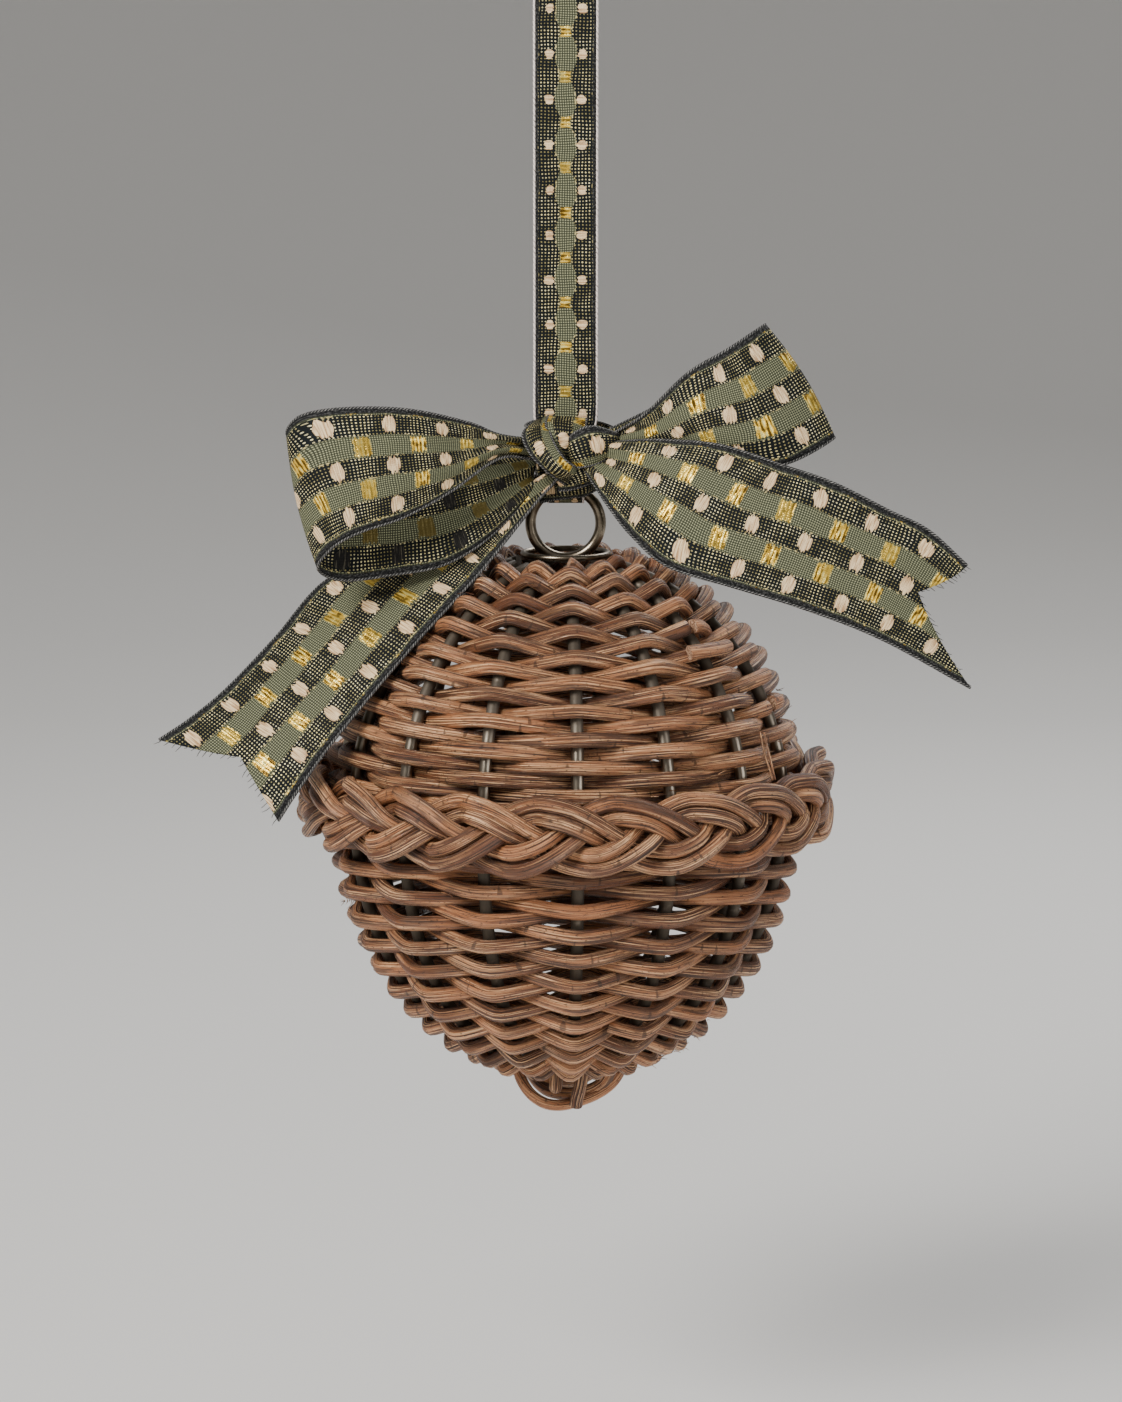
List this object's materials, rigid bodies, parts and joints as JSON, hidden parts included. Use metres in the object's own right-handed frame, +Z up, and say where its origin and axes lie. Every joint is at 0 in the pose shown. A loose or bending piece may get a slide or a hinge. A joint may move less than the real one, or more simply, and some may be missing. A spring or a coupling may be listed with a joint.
{
  "type": "rattan bauble",
  "caption": "Open acorn-shaped bauble woven from cane over wire ribs, with a plaited band, a metal ring, a ribbon bow and a hanging ribbon loop.",
  "frame": {"origin": "top of the hanging ribbon loop, where it lies on a hook or twig", "axes": "+Z up along the ribbon, +X to the right and -Y towards the front, where the bow shows its face"},
  "size_m": [0.2071, 0.1386, 0.3048],
  "materials": {
    "weave_cane": "stained cane with lengthwise grain, satin",
    "plait_cane": "stained cane with lengthwise grain, satin",
    "tip_cane": "stained cane with pale cut ends, satin",
    "rib_wire": "dull steel wire",
    "ring_metal": "antique nickel over brass, satin",
    "bow_ribbon": "woven ribbon in sage and charcoal lanes with cream and gold spots",
    "strap_ribbon": "narrow woven ribbon in sage and charcoal lanes with cream and gold spots"
  },
  "bodies": {
    "root": {"bow_knot": "bow_ribbon", "bow_loop_left": "bow_ribbon", "bow_loop_right": "bow_ribbon", "bow_tail_left": "bow_ribbon", "bow_tail_right": "bow_ribbon", "bowl_cane_1": "weave_cane", "bowl_cane_2": "weave_cane", "bowl_cane_3": "weave_cane", "dome_cane_1": "weave_cane", "dome_cane_2": "weave_cane", "dome_cane_3": "weave_cane", "hanging_ribbon": "strap_ribbon", "hanging_ring": "ring_metal", "plait_strand_1": "plait_cane", "plait_strand_2": "plait_cane", "plait_strand_3": "plait_cane", "rib_01": "rib_wire", "rib_02": "rib_wire", "rib_03": "rib_wire", "rib_04": "rib_wire", "rib_05": "rib_wire", "rib_06": "rib_wire", "rib_07": "rib_wire", "rib_08": "rib_wire", "rib_09": "rib_wire", "rib_10": "rib_wire", "rib_11": "rib_wire", "rib_12": "rib_wire", "rib_13": "rib_wire", "rib_14": "rib_wire", "rib_15": "rib_wire", "tip_cane_1": "tip_cane", "tip_cane_2": "tip_cane", "tip_cane_3": "tip_cane", "tip_stub_1": "tip_cane", "tip_stub_2": "tip_cane", "top_collar": "ring_metal"}
  },
  "joints": []
}
